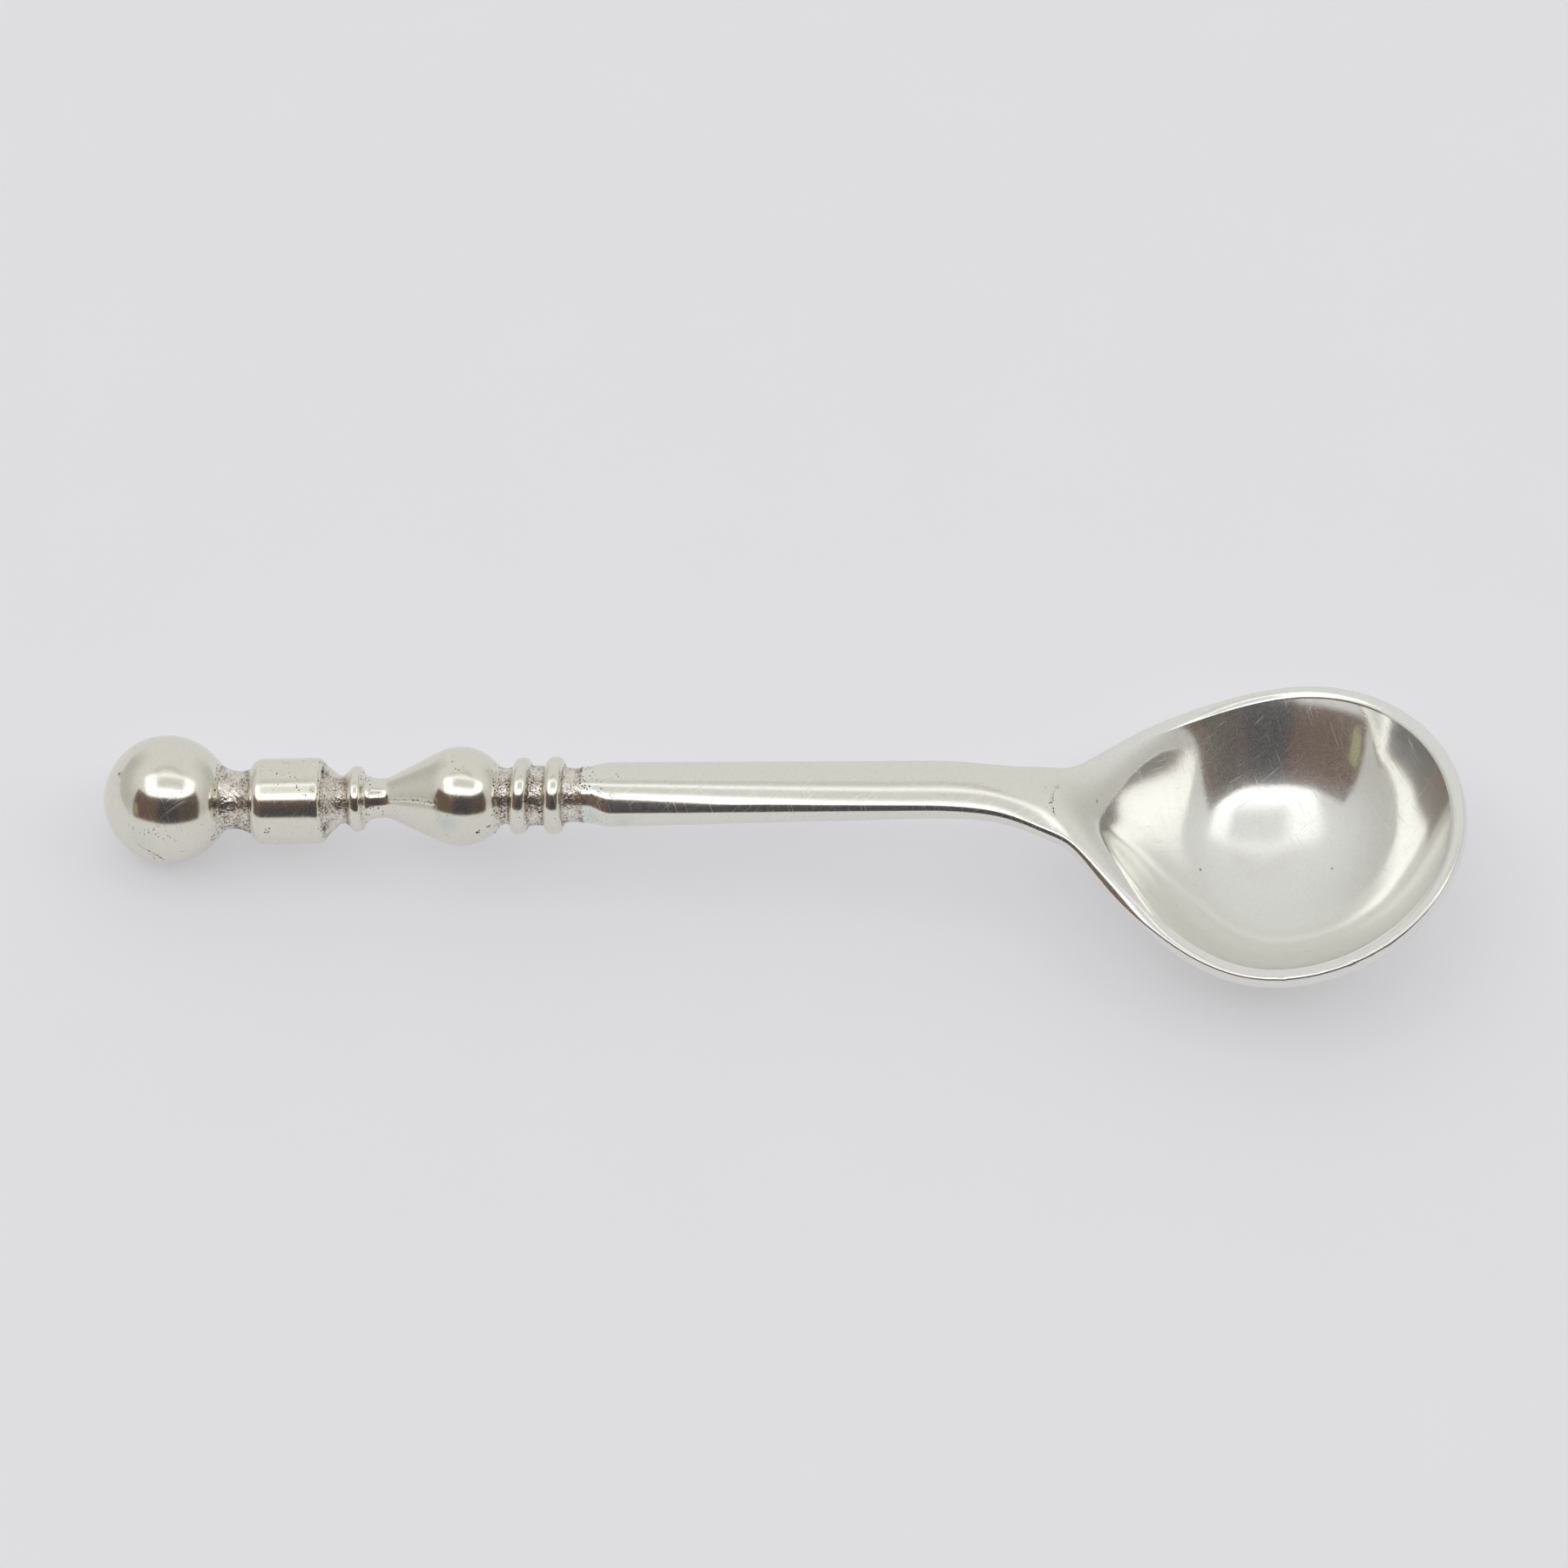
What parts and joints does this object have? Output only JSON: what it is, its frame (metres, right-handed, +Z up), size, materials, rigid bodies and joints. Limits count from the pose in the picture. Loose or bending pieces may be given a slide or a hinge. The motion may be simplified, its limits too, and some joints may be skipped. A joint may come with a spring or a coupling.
{
  "type": "condiment spoon",
  "caption": "Small silver condiment spoon: a round dished bowl on a bent bar stem, with a knop of turned beads and collars strung on a hidden peg behind it.",
  "frame": {"origin": "bottom centre of the spoon's box, on the surface that it lies on", "axes": "+X along the spoon from the ball to the tip of the bowl, +Y across it, +Z up out of the bowl"},
  "size_m": [0.07, 0.0182, 0.0089],
  "materials": {
    "polished_silver": "polished sterling silver, lightly scratched and pitted from use",
    "cast_silver": "as-cast silver in the recesses, granular, with brown and black tarnish",
    "peg_silver": "drawn silver wire, hidden inside the knop"
  },
  "bodies": {
    "root": {"bowl": "polished_silver", "stem": "polished_silver", "stem_neck": "cast_silver", "front_collar": "polished_silver", "collar_spacer": "cast_silver", "rear_collar": "polished_silver", "baluster_neck": "cast_silver", "baluster": "polished_silver", "neck_ring": "polished_silver", "barrel_neck": "cast_silver", "barrel": "polished_silver", "ball_neck": "cast_silver", "ball_knop": "polished_silver", "knop_peg": "peg_silver"}
  },
  "joints": []
}
